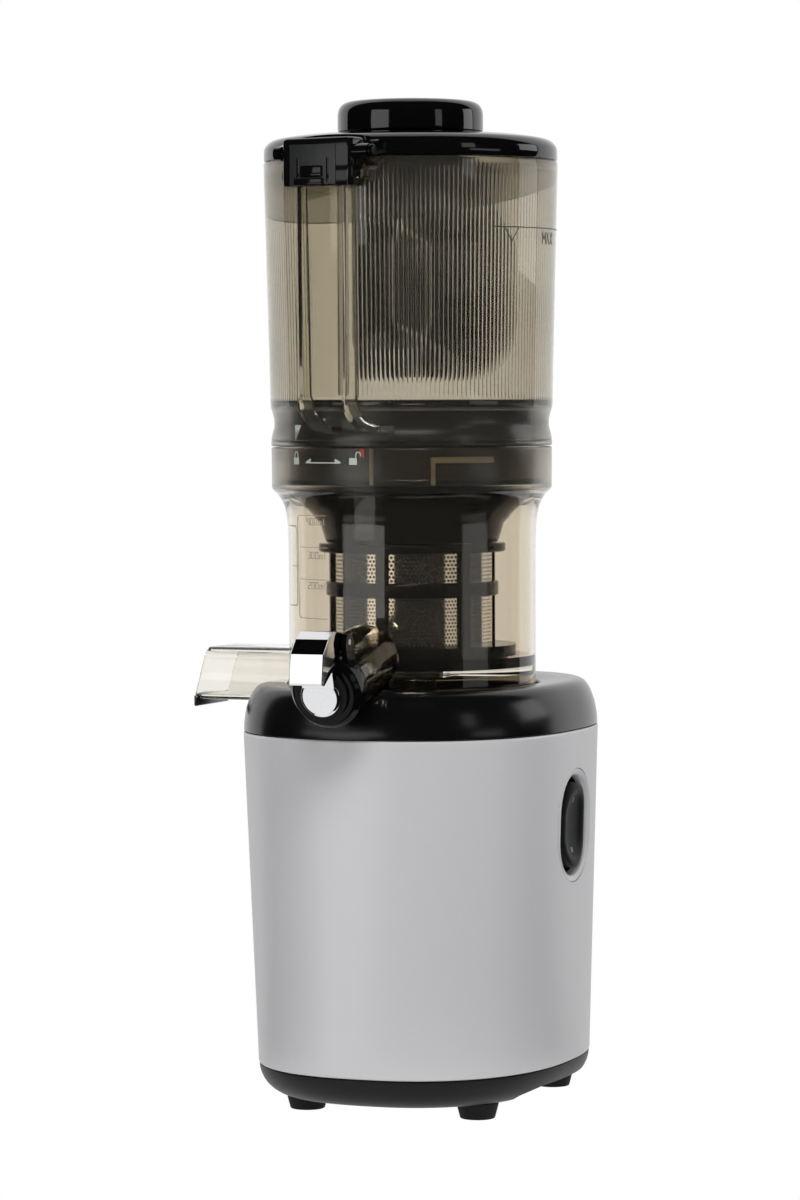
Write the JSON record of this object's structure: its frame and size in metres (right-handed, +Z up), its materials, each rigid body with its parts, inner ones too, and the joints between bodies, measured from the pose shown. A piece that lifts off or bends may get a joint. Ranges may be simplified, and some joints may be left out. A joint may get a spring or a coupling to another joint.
{
  "type": "cold press juicer",
  "caption": "Upright cold press juicer: silver motor base, clear juicing bowl with spout and pulp chute, and a tall ribbed clear hopper with a hinged black lid and a round pusher.",
  "frame": {"origin": "centre of the bounding box at the level of the rubber feet", "axes": "+Z up, -Y the front with the juice spout, -X the side with the pulp chute, +X the side with the rocker switch"},
  "size_m": [0.1904, 0.248, 0.4921],
  "materials": {
    "rubber_feet": "rubber",
    "base_tray": "matte plastic",
    "base_screws": "brushed steel",
    "body_shell": "painted metal",
    "top_cover": "gloss plastic",
    "cord_gland": "rubber",
    "switch_bezel": "painted metal",
    "switch_housing": "matte plastic",
    "rocker_switch": "matte plastic",
    "rocker_pin": "brushed steel",
    "control_board": "matte plastic",
    "motor_mounts": "rubber",
    "motor_lower_bracket": "aluminium",
    "motor_upper_bracket": "aluminium",
    "motor_stator": "brushed steel",
    "motor_windings": "brass",
    "motor_bearings": "brushed steel",
    "motor_rotor": "brushed steel",
    "motor_shaft": "brushed steel",
    "cooling_fan": "matte plastic",
    "motor_pinion": "brushed steel",
    "gearbox_case": "aluminium",
    "gearbox_plate": "aluminium",
    "gearbox_screws": "brushed steel",
    "intermediate_pin": "brushed steel",
    "intermediate_gear": "matte plastic",
    "output_gear": "matte plastic",
    "output_shaft": "brushed steel",
    "output_bearing": "brushed steel",
    "shaft_seal": "rubber",
    "bowl": "glass",
    "bowl_seal": "rubber",
    "pulp_chute": "glass",
    "pulp_seal": "rubber",
    "spout_collar": "gloss plastic",
    "spout_cap": "chrome",
    "spout_cap_seal": "rubber",
    "spout_cap_pin": "brushed steel",
    "strainer_frame": "gloss plastic",
    "strainer_sieve": "brushed steel",
    "auger": "gloss plastic",
    "hopper": "glass",
    "hopper_seal": "rubber",
    "feed_funnel": "gloss plastic",
    "hopper_channel": "glass",
    "hinge_block": "gloss plastic",
    "hinge_pin": "brushed steel",
    "interlock_rod": "gloss plastic",
    "lid": "gloss plastic",
    "pusher": "gloss plastic",
    "pusher_cap": "gloss plastic"
  },
  "bodies": {
    "base": {"rubber_feet": "rubber_feet", "base_tray": "base_tray", "base_screws": "base_screws", "body_shell": "body_shell", "top_cover": "top_cover", "cord_gland": "cord_gland", "switch_bezel": "switch_bezel", "switch_housing": "switch_housing", "rocker_pin": "rocker_pin", "control_board": "control_board", "motor_mounts": "motor_mounts", "motor_lower_bracket": "motor_lower_bracket", "motor_upper_bracket": "motor_upper_bracket", "motor_stator": "motor_stator", "motor_windings": "motor_windings", "motor_bearings": "motor_bearings", "gearbox_case": "gearbox_case", "gearbox_plate": "gearbox_plate", "gearbox_screws": "gearbox_screws", "intermediate_pin": "intermediate_pin", "output_bearing": "output_bearing", "shaft_seal": "shaft_seal"},
    "rocker": {"rocker_switch": "rocker_switch"},
    "motor_rotor": {"motor_rotor": "motor_rotor", "motor_shaft": "motor_shaft", "cooling_fan": "cooling_fan", "motor_pinion": "motor_pinion"},
    "intermediate": {"intermediate_gear": "intermediate_gear"},
    "output": {"output_gear": "output_gear", "output_shaft": "output_shaft"},
    "bowl": {"bowl": "bowl", "bowl_seal": "bowl_seal", "pulp_chute": "pulp_chute", "pulp_seal": "pulp_seal", "spout_collar": "spout_collar", "spout_cap_pin": "spout_cap_pin", "strainer_frame": "strainer_frame", "strainer_sieve": "strainer_sieve"},
    "spout_cap": {"spout_cap": "spout_cap", "spout_cap_seal": "spout_cap_seal"},
    "auger": {"auger": "auger"},
    "hopper": {"hopper": "hopper", "hopper_seal": "hopper_seal", "feed_funnel": "feed_funnel", "hopper_channel": "hopper_channel", "hinge_block": "hinge_block", "hinge_pin": "hinge_pin"},
    "interlock": {"interlock_rod": "interlock_rod"},
    "lid": {"lid": "lid"},
    "pusher": {"pusher": "pusher", "pusher_cap": "pusher_cap"}
  },
  "joints": [
    {"name": "rotor_spin", "type": "hinge", "parent": "base", "child": "motor_rotor", "pos_m": [-0.00136, 0.02827, 0.06], "axis": [0, 0, 1], "continuous": true},
    {"name": "intermediate_spin", "type": "hinge", "parent": "base", "child": "intermediate", "pos_m": [0.01385, 0.06089, 0.13], "axis": [0, 0, 1], "continuous": true},
    {"name": "output_spin", "type": "hinge", "parent": "base", "child": "output", "pos_m": [0.01385, 0.01214, 0.15], "axis": [0, 0, 1], "continuous": true},
    {"name": "auger_spin", "type": "hinge", "parent": "bowl", "child": "auger", "pos_m": [0.01385, 0.01214, 0.25], "axis": [0, 0, 1], "continuous": true},
    {"name": "power_rocker", "type": "hinge", "parent": "base", "child": "rocker", "pos_m": [0.08469, 0.02582, 0.13928], "axis": [0, 1, 0], "range_deg": [-6, 6]},
    {"name": "bowl_lift", "type": "slide", "parent": "base", "child": "bowl", "axis": [0, 0, 1], "range_m": [0, 0.05]},
    {"name": "spout_cap_hinge", "type": "hinge", "parent": "bowl", "child": "spout_cap", "pos_m": [0.01385, -0.09748, 0.23398], "axis": [-1, 0, 0], "range_deg": [0, 95]},
    {"name": "hopper_twist", "type": "hinge", "parent": "bowl", "child": "hopper", "pos_m": [0.01385, 0.01214, 0.3242], "axis": [0, 0, 1], "range_deg": [0, 31]},
    {"name": "lid_hinge", "type": "hinge", "parent": "hopper", "child": "lid", "pos_m": [-0.00258, -0.06513, 0.4639], "axis": [0.9781, -0.2079, 0], "range_deg": [0, 100]},
    {"name": "pusher_slide", "type": "slide", "parent": "lid", "child": "pusher", "axis": [0, 0, 1], "range_m": [0, 0.11]},
    {"name": "interlock_slide", "type": "slide", "parent": "hopper", "child": "interlock", "axis": [0, 0, 1], "range_m": [0, 0.004]}
  ],
  "couplings": [
    {"joint": "intermediate_spin", "follows": "rotor_spin", "ratio": -0.2},
    {"joint": "output_spin", "follows": "rotor_spin", "ratio": 0.04375},
    {"joint": "auger_spin", "follows": "rotor_spin", "ratio": 0.04375},
    {"joint": "interlock_slide", "follows": "lid_hinge", "m_per_rad": 0.002292}
  ]
}
